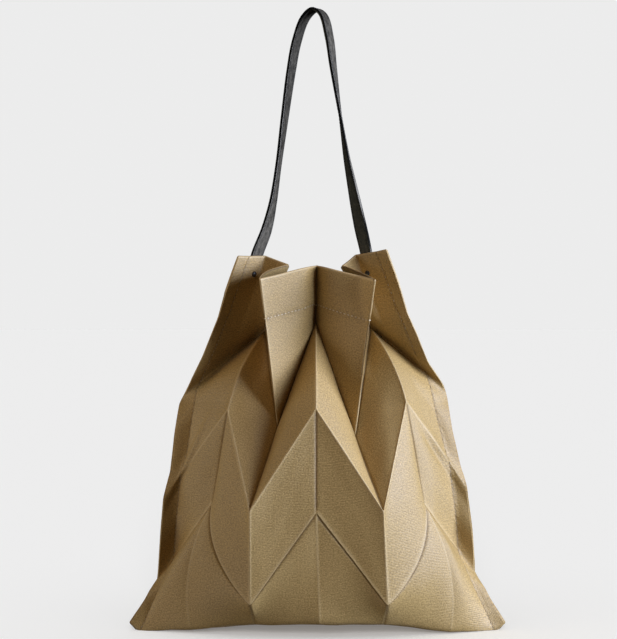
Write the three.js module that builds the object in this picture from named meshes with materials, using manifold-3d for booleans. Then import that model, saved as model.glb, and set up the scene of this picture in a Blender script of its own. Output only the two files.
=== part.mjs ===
// A pleated tote bag: two cloth panels, pressed into a herringbone of zigzag folds and sewn together
// along both sides, with one leather shoulder strap riveted between them at the top corners.
// Millimetres, +Z up, X across the bag, the front towards -Y.
// The origin is on the ground, under the middle of the bag.
import * as THREE from "three";
import { mergeVertices } from "three/addons/utils/BufferGeometryUtils.js";
import Module from "manifold-3d";

// Cloth
const CLOTH_WALL = 1.5;
const MITRE_LIMIT = 0.35; // keeps the wall's inner face close to its outer one at the sharpest folds
const SEAM_GAP = 0.3; // between the two layers of a sewn edge
const FLANGE = 18; // sewn edge that stands outside the side stitches
const STRAP_SHARE = { left: 0.45, right: 0.6 }; // crease beside the strap, from stitches to outer crease

// Strap and rivets
const STRAP_WIDTH = 16;
const STRAP_WALL = 2.2;
const STRAP_EDGE = 0.5; // chamfer of the strap's four edges
const STRAP_TAIL = 11; // length of strap below its rivet
const STRAP_STEPS = 72;
const RIVET_HEAD = 3.3; // radius
const RIVET_RISE = 1.6;
const RIVET_POST = 1.5; // radius
const RIVET_SIDES = 16;
const RIVET_DOME = [
  { radius: 1, rise: 0 },
  { radius: 1, rise: 0.4 },
  { radius: 0.75, rise: 0.85 },
  { radius: 0, rise: 1 },
]; // shares of the head's radius and rise, from its seat to its top
const DRILL_LENGTH = 40; // reaches through both panels
const CLEARANCE = 0.3;

// The sewn top corners are turned forward, about the crease beside the strap.
const MOUTH_HEIGHT = 411;
const CORNER_FADE = 140; // height over which the turn dies away below the mouth
const CORNER_SLOPE = 0.65; // forward run for each millimetre outside the crease, at the mouth
const CREASE_X = { left: -58, right: 43 }; // the crease beside the strap, at the mouth
const CREASE_SPREAD = 0.36; // outward run of that crease for each millimetre below the mouth

// Folds that cross a panel, from the mouth to the middle of the bottom. Each column is a crease that runs
// down the panel, from the left seam to the right one. A point is [x, depth, height], and depth is how far
// the cloth's outer face stands from the middle of the bag. A bow bends the fold outward between the outer
// and inner creases, and a crease bow bends the outer creases outward on their way down to the next fold.
// Points that are not given lie on the line between their neighbours.
const FOLDS = [
  {
    name: "mouth",
    leftSeam: [-89, 2.2, 411],
    leftStitch: [-77, 4.4, 410],
    leftStrap: [-58, 4.5, 411],
    leftOuter: [-33, 24, 401],
    leftInner: [-58, 85, 385],
    middle: [-1, 58, 399],
    rightInner: [61, 85, 383],
    rightOuter: [28, 24, 400],
    rightStrap: [43, 4.5, 412],
    rightStitch: [66, 4.4, 415],
    rightSeam: [78, 2.2, 417],
  },
  {
    name: "first valley",
    leftSeam: [-149, 1.65, 257],
    leftOuter: [-59, 6, 329],
    leftInner: [-44, 42, 228],
    middle: [-2, 30, 339],
    rightInner: [43, 42, 220],
    rightOuter: [59, 6, 332],
    rightSeam: [139, 1.65, 267],
  },
  {
    name: "ridge",
    leftSeam: [-169, 1.65, 146],
    leftOuter: [-97, 48, 244],
    leftInner: [-72, 94, 140],
    middle: [-2, 92, 248],
    rightInner: [69, 94, 140],
    rightOuter: [95, 48, 253],
    rightSeam: [164, 1.65, 158],
  },
  {
    name: "second valley",
    bow: 16,
    creaseBow: 13,
    leftSeam: [-177, 1.65, 52],
    leftOuter: [-113, 42, 144],
    leftInner: [-72, 72, 38],
    middle: [-2, 86, 138],
    rightInner: [74, 72, 38],
    rightOuter: [115, 42, 142],
    rightSeam: [173, 1.65, 60],
  },
  {
    name: "bottom edge",
    leftSeam: [-206, 2.2, 8],
    leftStitch: [-184, 2.2, 0],
    leftOuter: [-138, 26, 0],
    leftInner: [-67, 45, 14],
    middle: [2, 45, 14],
    rightInner: [71, 45, 14],
    rightOuter: [144, 26, 0],
    rightStitch: [184, 2.2, 0],
    rightSeam: [206, 2.2, 8],
  },
  {
    name: "bottom middle",
    leftSeam: [-197, 2.2, 0],
    leftStitch: [-184, 2.2, 0],
    leftOuter: [-138, 0.5, 0],
    leftInner: [-67, 0.5, 7],
    middle: [2, 0.5, 8],
    rightInner: [71, 0.5, 7],
    rightOuter: [144, 0.5, 0],
    rightStitch: [184, 2.2, 0],
    rightSeam: [197, 2.2, 0],
  },
];
// Beside the seams the first valley is not pressed, and both panels sink back together along it.
const SUNK_FOLD = FOLDS.findIndex(({ name }) => name === "first valley");
const SINK = 10;
const SINK_REACH = 0.36; // share of the way to the next fold over which the sink dies away
const STEPS_ACROSS = [1, 2, 2, 3, 3, 3, 3, 2, 2, 1]; // cells between neighbouring creases
const STEPS_DOWN = [5, 4, 4, 4, 2]; // cells between neighbouring folds
const BOWED_SPANS = [3, 6]; // the spans between the outer and inner creases
const CREASE_NEARNESS = [0, 0, 0.5, 1, 0, 0, 0, 1, 0.5, 0, 0]; // of each crease to an outer one
const SEAM_NEARNESS = [1, 1, 1, 0.75, 0, 0, 0, 0.75, 1, 1, 1]; // of each crease to a seam

// Strap: its ends inside the bag, then a row for each section from the left corner to the right one.
// Turn is the angle of the strap's width from the X axis, seen from above.
const RIVETS = { left: { x: -71.5, z: 391 }, right: { x: 57, z: 392 } };
const STRAP_EXITS = { left: { x: -66, z: 413 }, right: { x: 52.5, z: 418 } };
const STRAP_SECTIONS = [
  { x: -56, y: -4, z: 440, turn: 52 },
  { x: -49, y: -1, z: 470, turn: 68 },
  { x: -43, y: 1, z: 511, turn: 76 },
  { x: -36, y: 3, z: 565, turn: 68 },
  { x: -29, y: 6, z: 616, turn: 60 },
  { x: -23, y: 7, z: 648, turn: 58 },
  { x: -13.5, y: 5, z: 674, turn: 58 },
  { x: -3, y: 0, z: 682.5, turn: 58 },
  { x: 6, y: -5, z: 676, turn: 58 },
  { x: 13, y: -8, z: 650, turn: 60 },
  { x: 17, y: -7, z: 620, turn: 68 },
  { x: 21, y: -5, z: 592, turn: 78 },
  { x: 26, y: -2, z: 559, turn: 90 },
  { x: 32, y: 0, z: 520, turn: 105 },
  { x: 38, y: 0, z: 489, turn: 120 },
  { x: 46, y: -1, z: 449, turn: 138 },
];

const cloth = () => new THREE.MeshStandardMaterial({ color: 0xb79c6b, roughness: 0.75, metalness: 0 });
const leather = () => new THREE.MeshStandardMaterial({ color: 0x232323, roughness: 0.55, metalness: 0 });
const blackMetal = () => new THREE.MeshStandardMaterial({ color: 0x1a1a1a, roughness: 0.35, metalness: 0.8 });

const wasm = await Module();
wasm.setup();

// Corner turn

function cornerSlope(z) {
  const fade = 1 - (MOUTH_HEIGHT - z) / CORNER_FADE;
  return CORNER_SLOPE * THREE.MathUtils.clamp(fade, 0, 1);
}

// How far forward the turned corner lies at a place on the bag.
function cornerLean(x, z) {
  const spread = CREASE_SPREAD * (MOUTH_HEIGHT - z);
  const beyond = x < 0 ? CREASE_X.left - spread - x : x - CREASE_X.right - spread;
  return Math.max(0, beyond) * cornerSlope(z);
}

// Panels

function between(a, b, share) {
  return a.map((value, axis) => value + (b[axis] - value) * share);
}

// The points of one side of a fold, from the seam to the inner crease.
function sidePoints(fold, side) {
  const seam = fold[side + "Seam"];
  const outer = fold[side + "Outer"];
  const sewn = between(seam, outer, FLANGE / Math.abs(outer[0] - seam[0]));
  sewn[1] = CLOTH_WALL + SEAM_GAP / 2;
  const stitch = fold[side + "Stitch"] ?? sewn;
  const strap = fold[side + "Strap"] ?? between(stitch, outer, STRAP_SHARE[side]);
  return [seam, stitch, strap, outer, fold[side + "Inner"]];
}

function foldPoints(fold) {
  return [...sidePoints(fold, "left"), fold.middle, ...sidePoints(fold, "right").reverse()];
}

// A fold as a row of points, with the steps between its creases filled in.
function foldRow(fold) {
  const points = foldPoints(fold);
  const row = [points[0]];
  STEPS_ACROSS.forEach((steps, span) => {
    for (let step = 1; step <= steps; step++) {
      const share = step / steps;
      const point = between(points[span], points[span + 1], share);
      if (fold.bow && BOWED_SPANS.includes(span)) {
        point[0] += Math.sign(point[0]) * fold.bow * 4 * share * (1 - share);
      }
      row.push(point);
    }
  });
  return row;
}

// Shares that are given for the creases, filled in for every point of a row.
function rowShares(shares) {
  const row = [shares[0]];
  STEPS_ACROSS.forEach((steps, span) => {
    for (let step = 1; step <= steps; step++) {
      row.push(THREE.MathUtils.lerp(shares[span], shares[span + 1], step / steps));
    }
  });
  return row;
}

// All rows of the panel, from the mouth to the middle of the bottom. A point is [x, depth, height, back],
// and back is how far it has sunk towards the back of the bag.
function panelRows() {
  const folds = FOLDS.map(foldRow);
  const nearCrease = rowShares(CREASE_NEARNESS);
  const nearSeam = rowShares(SEAM_NEARNESS);
  const rows = [folds[0].map((point) => [...point, 0])];
  STEPS_DOWN.forEach((steps, band) => {
    const bow = FOLDS[band].creaseBow ?? 0;
    for (let step = 1; step <= steps; step++) {
      const share = step / steps;
      const sink = SINK * Math.exp(-(((band + share - SUNK_FOLD) / SINK_REACH) ** 2));
      rows.push(
        folds[band].map((point, i) => {
          const [x, depth, z] = between(point, folds[band + 1][i], share);
          const bend = bow * nearCrease[i] * 4 * share * (1 - share);
          return [x + Math.sign(x) * bend, depth, z, sink * nearSeam[i]];
        }),
      );
    }
  });
  return rows;
}

// A sheet of cloth given by its outer face: the same face again inside it, and walls round the rim.
function thicken(points, faces, wall) {
  const normals = points.map(() => []);
  const rim = new Map();
  const edgeOne = new THREE.Vector3();
  const edgeTwo = new THREE.Vector3();
  for (const face of faces) {
    const [a, b, c] = face.map((i) => points[i]);
    const normal = edgeOne.subVectors(b, a).clone().cross(edgeTwo.subVectors(c, a)).normalize();
    face.forEach((from, corner) => {
      const to = face[(corner + 1) % 3];
      normals[from].push(normal);
      if (!rim.delete(to + "," + from)) rim.set(from + "," + to, [from, to]);
    });
  }
  const inside = points.map((point, i) => {
    const mean = normals[i].reduce((sum, normal) => sum.add(normal), new THREE.Vector3()).normalize();
    const lean = normals[i].reduce((sum, normal) => sum + mean.dot(normal), 0) / normals[i].length;
    return point.clone().addScaledVector(mean, -wall / Math.max(lean, MITRE_LIMIT));
  });
  const count = points.length;
  const index = faces.flat();
  for (const [a, b, c] of faces) index.push(a + count, c + count, b + count);
  for (const [from, to] of rim.values()) index.push(to, from, from + count, to, from + count, to + count);
  return new THREE.BufferGeometry().setFromPoints([...points, ...inside]).setIndex(index);
}

// One pleated panel. Facing is 1 for the front and -1 for the back.
function panelGeometry(facing) {
  const rows = panelRows();
  const width = rows[0].length;
  const points = [];
  const places = new Map();
  const numbers = rows.flat().map(([x, depth, z, back]) => {
    const key = [x, depth, z].map((value) => value.toFixed(3)).join();
    if (!places.has(key)) {
      places.set(key, points.length);
      points.push(new THREE.Vector3(x, back - cornerLean(x, z) - facing * depth, z));
    }
    return places.get(key);
  });
  const faces = [];
  for (let down = 0; down < rows.length - 1; down++) {
    for (let across = 0; across < width - 1; across++) {
      const topLeft = numbers[down * width + across];
      const topRight = numbers[down * width + across + 1];
      const lowLeft = numbers[(down + 1) * width + across];
      const lowRight = numbers[(down + 1) * width + across + 1];
      faces.push([topLeft, lowLeft, lowRight], [topLeft, lowRight, topRight]);
    }
  }
  const whole = faces.filter((face) => new Set(face).size === 3);
  return thicken(points, facing > 0 ? whole : whole.map((face) => face.reverse()), CLOTH_WALL);
}

// Strap

// The part of the strap that lies inside a top corner: its tail, the rivet and the way out.
function strapEnd(side) {
  const rivet = RIVETS[side];
  const exit = STRAP_EXITS[side];
  const length = Math.hypot(exit.x - rivet.x, exit.z - rivet.z);
  const reach = STRAP_TAIL / length;
  const tail = { x: rivet.x - (exit.x - rivet.x) * reach, z: rivet.z - (exit.z - rivet.z) * reach };
  return [tail, rivet, exit].map(({ x, z }) => {
    const turn = THREE.MathUtils.radToDeg(Math.atan(cornerSlope(z)));
    return { x, y: -cornerLean(x, z), z, turn: side === "left" ? turn : 180 - turn };
  });
}

function strapGeometry() {
  const sections = [...strapEnd("left"), ...STRAP_SECTIONS, ...strapEnd("right").reverse()];
  const centres = sections.map(({ x, y, z }) => new THREE.Vector3(x, y, z));
  const path = new THREE.CatmullRomCurve3(centres, false, "centripetal");
  const turns = new THREE.CatmullRomCurve3(sections.map(({ turn }, i) => new THREE.Vector3(i, turn, 0)));
  const side = STRAP_WIDTH / 2;
  const face = STRAP_WALL / 2;
  const outline = [
    [side, face - STRAP_EDGE],
    [side - STRAP_EDGE, face],
    [STRAP_EDGE - side, face],
    [-side, face - STRAP_EDGE],
    [-side, STRAP_EDGE - face],
    [STRAP_EDGE - side, -face],
    [side - STRAP_EDGE, -face],
    [side, STRAP_EDGE - face],
  ];
  const points = [];
  for (let step = 0; step <= STRAP_STEPS; step++) {
    const share = step / STRAP_STEPS;
    const centre = path.getPoint(share);
    const along = path.getTangent(share);
    const angle = THREE.MathUtils.degToRad(turns.getPoint(share).y);
    const across = new THREE.Vector3(Math.cos(angle), Math.sin(angle), 0);
    across.addScaledVector(along, -across.dot(along)).normalize();
    const out = new THREE.Vector3().crossVectors(along, across);
    for (const [u, v] of outline) {
      points.push(centre.clone().addScaledVector(across, u).addScaledVector(out, v));
    }
  }
  const sides = outline.length;
  const last = STRAP_STEPS * sides;
  const index = [];
  for (let step = 0; step < STRAP_STEPS; step++) {
    for (let corner = 0; corner < sides; corner++) {
      const a = step * sides + corner;
      const b = step * sides + ((corner + 1) % sides);
      index.push(a, b, b + sides, a, b + sides, a + sides);
    }
  }
  for (let corner = 1; corner < sides - 1; corner++) {
    index.push(0, corner + 1, corner, last, last + corner, last + corner + 1);
  }
  return new THREE.BufferGeometry().setFromPoints(points).setIndex(index);
}

// Rivets

// A post with a low domed head at each end, along Y, with its middle at the origin.
function rivetGeometry() {
  const seat = FOLDS[0].leftStrap[1] + CLEARANCE;
  const front = [new THREE.Vector2(RIVET_POST, seat)];
  for (const { radius, rise } of RIVET_DOME) {
    front.push(new THREE.Vector2(radius * RIVET_HEAD, seat + rise * RIVET_RISE));
  }
  const back = front.map(({ x, y }) => new THREE.Vector2(x, -y)).reverse();
  return new THREE.LatheGeometry([...back, ...front], RIVET_SIDES);
}

// Puts a piece that is made along Y at a rivet's place, square to the turned corner.
function placeAtRivet(object, side) {
  const { x, z } = RIVETS[side];
  const turn = Math.atan(cornerSlope(z));
  object.position.set(x, -cornerLean(x, z), z);
  object.rotation.z = side === "left" ? turn : -turn;
  object.updateMatrix();
  return object;
}

// Cutting

function solidOf(geometry) {
  const bare = geometry.clone();
  bare.deleteAttribute("normal");
  bare.deleteAttribute("uv");
  const merged = mergeVertices(bare, 1e-3);
  const vertProperties = merged.getAttribute("position").array;
  const triVerts = new Uint32Array(merged.index.array);
  return new wasm.Manifold(new wasm.Mesh({ numProp: 3, vertProperties, triVerts }));
}

function rivetHole(side) {
  const radius = RIVET_POST + CLEARANCE;
  const drill = new THREE.Mesh(new THREE.CylinderGeometry(radius, radius, DRILL_LENGTH, RIVET_SIDES));
  placeAtRivet(drill, side);
  return solidOf(drill.geometry.applyMatrix4(drill.matrix));
}

const holes = rivetHole("left").add(rivetHole("right"));

function withRivetHoles(geometry) {
  const cut = solidOf(geometry).subtract(holes).getMesh();
  return new THREE.BufferGeometry()
    .setAttribute("position", new THREE.BufferAttribute(cut.vertProperties, 3))
    .setIndex(new THREE.BufferAttribute(cut.triVerts, 1));
}

// Assembly

function piece(name, geometry, material) {
  const mesh = new THREE.Mesh(geometry, material);
  mesh.name = name;
  return mesh;
}

const bag = new THREE.Group();
bag.add(piece("front_panel", withRivetHoles(panelGeometry(1)), cloth()));
bag.add(piece("back_panel", withRivetHoles(panelGeometry(-1)), cloth()));
bag.add(piece("strap", withRivetHoles(strapGeometry()), leather()));
for (const side of ["left", "right"]) {
  bag.add(placeAtRivet(piece("rivet_" + side, rivetGeometry(), blackMetal()), side));
}

export default bag;
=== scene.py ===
# Pleated tote bag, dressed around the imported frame. Metres, +Z up, X across the bag, the front towards -Y.
# The sections follow the making of the bag: pleated cloth, stitching, strap, rivets, then the studio.
import math

import bmesh
import bpy
import numpy as np
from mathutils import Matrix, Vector, noise


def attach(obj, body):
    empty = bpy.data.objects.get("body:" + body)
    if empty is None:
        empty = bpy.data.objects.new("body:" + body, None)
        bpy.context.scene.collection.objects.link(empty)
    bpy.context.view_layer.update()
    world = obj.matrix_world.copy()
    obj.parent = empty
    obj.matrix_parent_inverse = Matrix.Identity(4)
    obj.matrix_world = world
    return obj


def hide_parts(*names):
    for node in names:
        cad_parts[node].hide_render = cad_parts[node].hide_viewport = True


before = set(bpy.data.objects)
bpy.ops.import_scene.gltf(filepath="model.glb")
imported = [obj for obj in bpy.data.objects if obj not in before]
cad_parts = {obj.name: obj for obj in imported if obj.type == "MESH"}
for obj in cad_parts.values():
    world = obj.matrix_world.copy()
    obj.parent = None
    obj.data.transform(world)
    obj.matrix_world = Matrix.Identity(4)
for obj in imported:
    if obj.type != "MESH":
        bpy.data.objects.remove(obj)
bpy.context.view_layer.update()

# Pleated panels
# Front and back are each one stiff woven polyester cloth, heat-pressed into a herringbone of zigzag pleats.
# They lie back to back and are sewn along both sides, where the edges stand out as a flat flange.

MM = 0.001
CLOTH_WALL = 1.3
HEM_WALL = 2.1  # the cloth is turned in and doubled at the mouth
HEM_DEPTH = 44
SEWN_DEPTH = 1.65  # outer face of a sewn edge from the middle of the bag
FLANGE = 18
STRAP_SHARE = {"left": 0.45, "right": 0.6}  # crease beside the strap, from stitches to outer crease

# Folds that cross a panel, from the mouth to the middle of the bottom. Each column is a crease that runs
# down the panel. A point is (x, depth, height) in millimetres, and depth is from the middle of the bag.
FOLDS = [
    {  # mouth
        "left_seam": (-88, 2.2, 410),
        "left_stitch": (-76, 4.4, 410),
        "left_strap": (-58, 4.5, 411),
        "left_outer": (-33, 24, 401),
        "left_inner": (-61, 90, 384),
        "middle": (-1, 51, 399),
        "right_inner": (61, 75, 383),
        "right_outer": (28, 24, 400),
        "right_strap": (43, 4.5, 412),
        "right_stitch": (66, 4.4, 415),
        "right_seam": (78, 2.2, 417),
    },
    {  # first valley
        "left_seam": (-149, 1.65, 257),
        "left_outer": (-59, 6, 329),
        "left_inner": (-43, 46, 226),
        "middle": (-2, 23, 339),
        "right_inner": (40, 46, 215),
        "right_outer": (59, 6, 332),
        "right_seam": (139, 1.65, 267),
    },
    {  # ridge
        "left_seam": (-169, 1.65, 146),
        "left_outer": (-97, 48, 244),
        "left_inner": (-72, 94, 140),
        "middle": (-2, 92, 248),
        "right_inner": (69, 94, 140),
        "right_outer": (95, 48, 253),
        "right_seam": (164, 1.65, 158),
    },
    {  # second valley
        "left_seam": (-177, 1.65, 52),
        "left_outer": (-113, 42, 144),
        "left_inner": (-72, 72, 38),
        "middle": (-2, 83, 138),
        "right_inner": (74, 72, 38),
        "right_outer": (115, 42, 142),
        "right_seam": (173, 1.65, 60),
    },
    {  # bottom edge
        "left_seam": (-206, 2.2, 8),
        "left_stitch": (-195, 2.2, 0),
        "left_outer": (-138, 26, 5),
        "left_inner": (-67, 45, 13),
        "middle": (2, 62, 15),
        "right_inner": (71, 45, 13),
        "right_outer": (144, 26, 2),
        "right_stitch": (195, 2.2, 0),
        "right_seam": (206, 2.2, 8),
    },
    {  # bottom middle
        "left_seam": (-199, 2.2, 0),
        "left_stitch": (-195, 2.2, 0),
        "left_outer": (-138, 0.3, 0),
        "left_inner": (-67, 0.3, 7),
        "middle": (2, 0.3, 9),
        "right_inner": (71, 0.3, 7),
        "right_outer": (144, 0.3, 0),
        "right_stitch": (195, 2.2, 0),
        "right_seam": (199, 2.2, 0),
    },
]
ACROSS = np.array([0, 18, 40, 68, 136, 204, 272, 340, 368, 390, 408.0])  # creases on the flat cloth
DOWN = np.array([0, 120, 227, 334, 415, 460.0])  # folds on the flat cloth, at their mean height
FLAT_SHORT = np.array([0, 72, 179, 286, 422, 467.0])  # fold heights on the outer creases and the middle
FLAT_LONG = np.array([0, 173, 280, 387, 424, 467.0])  # fold heights on the inner creases and the seams
VALLEY_BOW = 16  # bends the second valley outward between the outer and inner creases
MOUTH_BOW = {"left": 8.5, "right": 2.5}  # bends the hem outward between the same creases
MOUTH_BOW_REACH = 70
CREASE_BOW = np.array([0, 5, 0, 13, 0])  # bends the outer creases outward in each band


def side_points(fold, side):
    """One side of a fold, from the seam to the inner crease."""
    seam = np.array(fold[side + "_seam"], float)
    outer = np.array(fold[side + "_outer"], float)
    sewn = seam + (outer - seam) * FLANGE / abs(outer[0] - seam[0])
    sewn[1] = SEWN_DEPTH
    stitch = np.array(fold.get(side + "_stitch", sewn), float)
    strap = fold.get(side + "_strap", stitch + (outer - stitch) * STRAP_SHARE[side])
    return [seam, stitch, np.array(strap, float), outer, np.array(fold[side + "_inner"], float)]


def fold_points(fold):
    return [*side_points(fold, "left"), np.array(fold["middle"], float), *side_points(fold, "right")[::-1]]


CORNERS = np.array([fold_points(fold) for fold in FOLDS])
LAST_SPAN = len(ACROSS) - 2
LAST_BAND = len(DOWN) - 2
OUTER_SPANS = (3, 6)  # between the outer and inner creases


def to_edge(across):
    """Distance from the nearer sewn edge of the flat cloth."""
    return np.minimum(across, ACROSS[-1] - across)


def to_stitches(across):
    """Distance from the nearer row of seam stitches."""
    return np.minimum(np.abs(across - ACROSS[1]), np.abs(across - ACROSS[-2]))


def spans_of(across, down):
    """The crease span and fold band of flat places, and how far across and down each they lie."""
    s = np.interp(across, ACROSS, np.arange(len(ACROSS)))
    t = np.interp(down, DOWN, np.arange(len(DOWN)))
    span = np.minimum(s.astype(int), LAST_SPAN)
    band = np.minimum(t.astype(int), LAST_BAND)
    return span, band, s - span, t - band


def pleats(across, down):
    """The folded cloth's outer face, with sharp creases: x, depth and height."""
    span, band, a, b = spans_of(across, down)
    wide, tall = a[..., None], b[..., None]
    top = CORNERS[band, span] * (1 - wide) + CORNERS[band, span + 1] * wide
    low = CORNERS[band + 1, span] * (1 - wide) + CORNERS[band + 1, span + 1] * wide
    point = top * (1 - tall) + low * tall
    near_valley = np.where(band == 2, b, np.where(band == 3, 1 - b, 0))
    near_mouth = np.clip(1 - down / MOUTH_BOW_REACH, 0, 1)
    hem_bow = np.where(across < ACROSS[5], MOUTH_BOW["left"], MOUTH_BOW["right"])
    bend = VALLEY_BOW * near_valley + hem_bow * near_mouth
    bend = bend * np.isin(span, OUTER_SPANS) * 4 * a * (1 - a)
    near_crease = np.interp(span + a, [1, 3, 4, 6, 7, 9], [0, 1, 0, 0, 1, 0])
    bend += CREASE_BOW[band] * near_crease * 4 * b * (1 - b)
    point[..., 0] += np.sign(point[..., 0]) * bend
    return point


CREASE_ROUND = 1.5  # half the width over which a pressed crease turns
BASE_ROUND = 9  # the same for the bottom edge
BASE_REACH = 14  # how far the bottom edge's rounding goes up and down at its full width
BASE_START = 12  # where it starts below the second valley
BASE_SHARPEN = 50  # distance from the seams over which it sharpens towards them
BASE_LEAST = 0.2
ROLL_ROUND = 16  # the first valley beside the seams, where the cloth is not pressed
ROLL_REACH = 34  # how far up and down that valley goes, how far in from the seams, and its fade
ROLL_INNER = 64
ROLL_FADE = 24
FLAP_ROUND = 1.6  # more for the doubled cloth on the edges of the two flaps
FLAP_REACH = 12
THROAT_ROUND = 6  # and for the fold between them
THROAT_REACH = 16
THROAT_SINK = 10  # that fold is pinched into a narrow groove
THROAT_GROOVE = 8
SEAM_ROUND = 4.5  # the stitched line, which is not pressed either
SEAM_REACH = 9
TAPS = np.linspace(-1, 1, 7)
TAP_SHARES = (1.2 - np.abs(TAPS)) / np.sum(1.2 - np.abs(TAPS))


def bell(distance, width):
    return np.exp(-((distance / width) ** 2))


def unpressed_share(across, down):
    """Near 1 on the first valley beside the seams."""
    beside = np.clip((ROLL_INNER - to_edge(across)) / ROLL_FADE, 0, 1)
    return bell(down - DOWN[1], ROLL_REACH) * beside


def soft_pleats(across, down):
    """The folded cloth with its creases rounded."""
    from_edge = to_edge(across)
    places = [DOWN[3] + BASE_START, DOWN[4] - BASE_REACH, DOWN[4] + BASE_REACH, DOWN[5]]
    tall = np.interp(down, places, [CREASE_ROUND, BASE_ROUND, BASE_ROUND, CREASE_ROUND])
    tall = tall * np.clip(from_edge / BASE_SHARPEN, BASE_LEAST, 1)
    tall = np.maximum(np.maximum(tall, CREASE_ROUND), ROLL_ROUND * unpressed_share(across, down))
    flaps = FLAP_ROUND * bell(from_edge - ACROSS[4], FLAP_REACH)
    flaps = flaps + THROAT_ROUND * bell(from_edge - ACROSS[5], THROAT_REACH)
    wide = CREASE_ROUND + flaps * np.clip(1.3 - down / DOWN[1], 0, 1)
    wide = wide + SEAM_ROUND * bell(from_edge - FLANGE, SEAM_REACH) * np.clip(down / DOWN[1], 0, 1)
    point = 0
    for sideways, share in zip(TAPS, TAP_SHARES):
        for downwards, part in zip(TAPS, TAP_SHARES):
            point = point + share * part * pleats(across + sideways * wide, down + downwards * tall)
    groove = THROAT_SINK * bell(across - ACROSS[5], THROAT_GROOVE)
    point[..., 1] -= groove * np.clip(1.2 - down / DOWN[1], 0, 1)
    return point


MOUTH_HEIGHT = 411
CORNER_FADE = 160  # height over which the turn of the top corners dies away
CORNER_SLOPE = 1.0  # forward run for each millimetre outside the crease beside the strap
CREASE_X = {"left": -58, "right": 43}
CREASE_SPREAD = 0.08  # how far outward the crease runs for each millimetre down
CREASE_SOFT = 3


def corner_slope(z):
    return CORNER_SLOPE * np.clip(1 - (MOUTH_HEIGHT - z) / CORNER_FADE, 0, 1)


def corner_lean(x, z):
    """How far forward the turned top corners lie at a place on the bag."""
    spread = CREASE_SPREAD * (MOUTH_HEIGHT - z)
    beyond = np.where(x < 0, CREASE_X["left"] - spread - x, x - CREASE_X["right"] - spread)
    return (beyond + np.sqrt(beyond**2 + CREASE_SOFT**2)) / 2 * corner_slope(z)


# How far back the sewn edges turn, and how far inward they are drawn, at places down the seams.
SEAM_TURN = {
    "left": {"down": [60, 120, 180, 230, 334, 350], "back": [0, 4, 3, -2, -2, 2]},
    "right": {"down": [60, 120, 150, 207, 237, 334, 350], "back": [0, 0, 4, 4, 2, 2, 3]},
}
TURN_REACH = 30  # how far in from the edge the turn goes, and how it curves
TURN_CURVE = 1.6
SEAM_DRAW = {
    "left": {
        "down": [0, 30, 52, 85, 110, 120, 130, 160, 200, 232],
        "in": [1.5, 3.5, 6.5, 5.5, 2, 0, -2, -0.5, 2.5, 0],
    },
    "right": {
        "down": [0, 20, 35, 55, 73, 99, 109, 118, 135, 169, 210, 233, 282, 320, 345],
        "in": [3.5, 4.5, 6, 8.5, 7, 6.5, 2.5, -1.5, -1, 2, 2, 0, -2, -2, 0],
    },
}
DRAW_REACH = 56
RIDGE_WAVE = 2.5  # the edges wave forward at the ridge and back at the second valley
RIDGE_WAVE_REACH = 16
VALLEY_WAVE = 13
VALLEY_WAVE_RISE = 4  # its crest lies above the fold
VALLEY_WAVE_ABOVE = 34
VALLEY_WAVE_BELOW = 20
WAVE_INNER = 52  # the waves fade out this far in from the edge
WAVE_FADE = 36
ROLL_SINK = 9  # the first valley beside the seams, and the narrower groove along its middle
GROOVE_SINK = 14
GROOVE_REACH = 17
SINK_INNER = 95  # both fade out this far in from the edge
SINK_FADE = 35


def along_seam(table, column, across, down):
    """A value of the seam on the same side, from its table."""
    left, right = table["left"], table["right"]
    left_value = np.interp(down, left["down"], left[column])
    right_value = np.interp(down, right["down"], right[column])
    return np.where(across > ACROSS[5], right_value, left_value)


def seam_sway(across, down):
    """How far back the sewn edges lie: they wave where the folds run out into them."""
    from_edge = to_edge(across)
    hold = np.clip((WAVE_INNER - from_edge) / WAVE_FADE, 0, 1)
    hold = hold * hold * (3 - 2 * hold)
    forward = RIDGE_WAVE * bell(down - DOWN[2], RIDGE_WAVE_REACH)
    off_crest = down - DOWN[3] + VALLEY_WAVE_RISE
    back = VALLEY_WAVE * bell(off_crest, np.where(down < DOWN[3], VALLEY_WAVE_ABOVE, VALLEY_WAVE_BELOW))
    turned = along_seam(SEAM_TURN, "back", across, down)
    turned = turned * np.clip(1 - from_edge / TURN_REACH, 0, 1) ** TURN_CURVE
    from_valley = down - DOWN[1]
    sunk = ROLL_SINK * bell(from_valley, ROLL_REACH) + GROOVE_SINK * bell(from_valley, GROOVE_REACH)
    sunk = sunk * np.clip((SINK_INNER - from_edge) / SINK_FADE, 0, 1)
    return hold * (back - forward) + turned + sunk


def seam_draw(across, down):
    """How far inward the sewn edges are drawn by their stitches."""
    drawn = along_seam(SEAM_DRAW, "in", across, down)
    return drawn * np.clip(1 - to_edge(across) / DRAW_REACH, 0, 1)


# Turn of each crease in each band from the mouth to the bottom: 1 is a ridge and -1 a valley.
CREASE_TURN = {3: (-1, 1, -1, 1, 0), 4: (1, -1, 1, -1, 0), 5: (-1, 1, -1, 1, 0)}
CREASE_TURN.update({6: CREASE_TURN[4], 7: CREASE_TURN[3]})
FOLD_TURN = {1: -1, 2: 1}
FOLD_LEAN = 0.6  # distance across a zigzag fold for each millimetre down the cloth
TUCKED_FOLD = 3  # the cloth above it is pressed over the cloth below
TUCK_LIP = 2.4
TUCK_STEP = 0.7
TUCK_GROOVE = 1.1
RIDGE_WIDTH = 1.2
FLAP_EDGES = (4, 6)
FLAP_RIDGE_WIDTH = 2.0
PRESS_START = 10  # creases are pressed from this far in, and weakly beside the seams
PRESS_FADE = 30
PRESS_LEAST = 0.15
BASE_BAND = 3
BASE_PRESS_LOSS = 0.6  # the share of the pressing that is lost down to the bottom edge


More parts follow.
